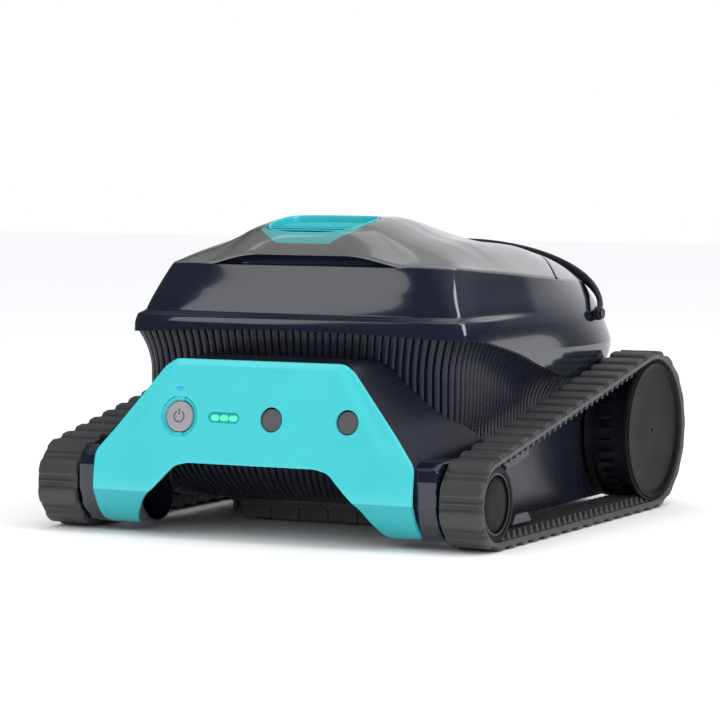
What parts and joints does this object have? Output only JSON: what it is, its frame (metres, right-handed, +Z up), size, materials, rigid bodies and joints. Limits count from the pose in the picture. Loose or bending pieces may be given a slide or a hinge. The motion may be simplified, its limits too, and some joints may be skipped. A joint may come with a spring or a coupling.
{
  "type": "pool cleaner",
  "caption": "Cordless tracked robotic pool cleaner with a ribbed tub, glossy shell, hinged smoke lid, teal front panel and toothed rubber belts.",
  "frame": {"origin": "on the floor under the middle of the overall box", "axes": "+Z up, -Y towards the teal front panel, +X across the tracks towards the right-hand track as seen from the front"},
  "size_m": [0.42, 0.451, 0.2663],
  "materials": {
    "shell_navy": "high gloss",
    "rib_navy": "satin",
    "cover_smoke": "gloss",
    "lid_smoke": "clear smoke",
    "teal_panel": "semi gloss",
    "turquoise": "semi gloss",
    "belt_rubber": "matt",
    "flap_rubber": "matt",
    "wheel_grey": "satin",
    "wheel_navy": "satin",
    "guide_grey": "satin",
    "handle_black": "satin",
    "button_mauve": "satin",
    "cap_grey": "satin",
    "lens": "clear",
    "steel": "brushed",
    "bronze": "machined",
    "motor_case": "satin",
    "inner_black": "matt",
    "cell_wrap": "satin",
    "circuit_green": "matt",
    "mesh_white": "woven",
    "seal_rubber": "matt"
  },
  "bodies": {
    "chassis": {"upper_shell": "shell_navy", "rear_cover": "cover_smoke", "lid_hinge_pin": "steel", "lid_hinge_bracket": "inner_black", "handle_pins": "steel", "ribbed_tub": "rib_navy", "chassis_frame": "rib_navy", "casing_screws": "steel", "front_panel": "teal_panel", "front_frame": "shell_navy", "button_housing": "turquoise", "button_spring": "steel", "indicator_lenses": "lens", "led_board": "circuit_green", "panel_caps": "cap_grey", "pump_motor": "motor_case", "shaft_seal": "seal_rubber", "pump_duct": "inner_black", "filter_basket": "inner_black", "filter_mesh": "mesh_white", "inlet_duct": "inner_black", "battery_pack": "cell_wrap", "electronics_case": "inner_black", "control_board": "circuit_green", "flap_carrier": "guide_grey", "flap_rod": "steel", "rear_axles": "steel", "front_axles": "steel", "rear_bushes": "bronze", "front_bushes": "bronze", "track_belt_left": "belt_rubber", "side_pod_left": "shell_navy", "belt_guide_left": "guide_grey", "drive_motor_left": "motor_case", "track_belt_right": "belt_rubber", "side_pod_right": "shell_navy", "belt_guide_right": "guide_grey", "drive_motor_right": "motor_case"},
    "lid": {"lid": "lid_smoke", "lid_gasket": "seal_rubber", "outlet_nozzle": "turquoise", "outlet_grille": "turquoise"},
    "carry_handle": {"carry_handle": "handle_black"},
    "power_button": {"power_button": "button_mauve"},
    "propeller": {"propeller": "turquoise", "pump_shaft": "steel"},
    "inlet_flap": {"inlet_flap": "seal_rubber"},
    "rubber_flaps": {"rubber_flaps": "flap_rubber"},
    "drive_wheel_left": {"drive_wheel_left": "wheel_navy", "wheel_disc_left": "wheel_grey"},
    "idler_wheel_left": {"idler_wheel_left": "wheel_navy", "idler_cap_left": "wheel_grey"},
    "drive_pinion_left": {"drive_pinion_left": "steel"},
    "drive_wheel_right": {"drive_wheel_right": "wheel_navy", "wheel_disc_right": "wheel_grey"},
    "idler_wheel_right": {"idler_wheel_right": "wheel_navy", "idler_cap_right": "wheel_grey"},
    "drive_pinion_right": {"drive_pinion_right": "steel"}
  },
  "joints": [
    {"name": "lid_hinge", "type": "hinge", "parent": "chassis", "child": "lid", "pos_m": [0, 0.186, 0.2182], "axis": [-1, 0, 0], "range_deg": [0, 50]},
    {"name": "handle_lift", "type": "hinge", "parent": "chassis", "child": "carry_handle", "pos_m": [0, 0.128, 0.176], "axis": [1, 0, 0], "range_deg": [0, 9]},
    {"name": "power_button_press", "type": "slide", "parent": "chassis", "child": "power_button", "axis": [0, 0.9869, -0.1613], "range_m": [0, 0.0012], "stiffness_N_per_m": 800, "springref_m": -0.0005, "deforming": ["button_spring"]},
    {"name": "propeller_spin", "type": "hinge", "parent": "chassis", "child": "propeller", "pos_m": [0, -0.08, 0.2], "axis": [0, 0, 1], "continuous": true},
    {"name": "inlet_flap_hinge", "type": "hinge", "parent": "chassis", "child": "inlet_flap", "pos_m": [0, 0.0554, 0.0716], "axis": [1, 0, 0], "range_deg": [0, 70]},
    {"name": "rubber_flap_swing", "type": "hinge", "parent": "chassis", "child": "rubber_flaps", "pos_m": [0, -0.08, 0.0135], "axis": [1, 0, 0], "range_deg": [-25, 35]},
    {"name": "drive_wheel_left_spin", "type": "hinge", "parent": "chassis", "child": "drive_wheel_left", "pos_m": [-0.19, 0.1545, 0.071], "axis": [1, 0, 0], "continuous": true, "deforming": ["track_belt_left"]},
    {"name": "idler_wheel_left_spin", "type": "hinge", "parent": "chassis", "child": "idler_wheel_left", "pos_m": [-0.19, -0.1805, 0.0384], "axis": [1, 0, 0], "continuous": true},
    {"name": "drive_pinion_left_spin", "type": "hinge", "parent": "chassis", "child": "drive_pinion_left", "pos_m": [-0.17, 0.1185, 0.071], "axis": [1, 0, 0], "continuous": true},
    {"name": "drive_wheel_right_spin", "type": "hinge", "parent": "chassis", "child": "drive_wheel_right", "pos_m": [0.19, 0.1545, 0.071], "axis": [1, 0, 0], "continuous": true, "deforming": ["track_belt_right"]},
    {"name": "idler_wheel_right_spin", "type": "hinge", "parent": "chassis", "child": "idler_wheel_right", "pos_m": [0.19, -0.1805, 0.0384], "axis": [1, 0, 0], "continuous": true},
    {"name": "drive_pinion_right_spin", "type": "hinge", "parent": "chassis", "child": "drive_pinion_right", "pos_m": [0.17, 0.1185, 0.071], "axis": [1, 0, 0], "continuous": true}
  ],
  "couplings": [
    {"joint": "idler_wheel_left_spin", "follows": "drive_wheel_left_spin", "ratio": 2},
    {"joint": "drive_pinion_left_spin", "follows": "drive_wheel_left_spin", "ratio": 4},
    {"joint": "idler_wheel_right_spin", "follows": "drive_wheel_right_spin", "ratio": 2},
    {"joint": "drive_pinion_right_spin", "follows": "drive_wheel_right_spin", "ratio": 4}
  ]
}
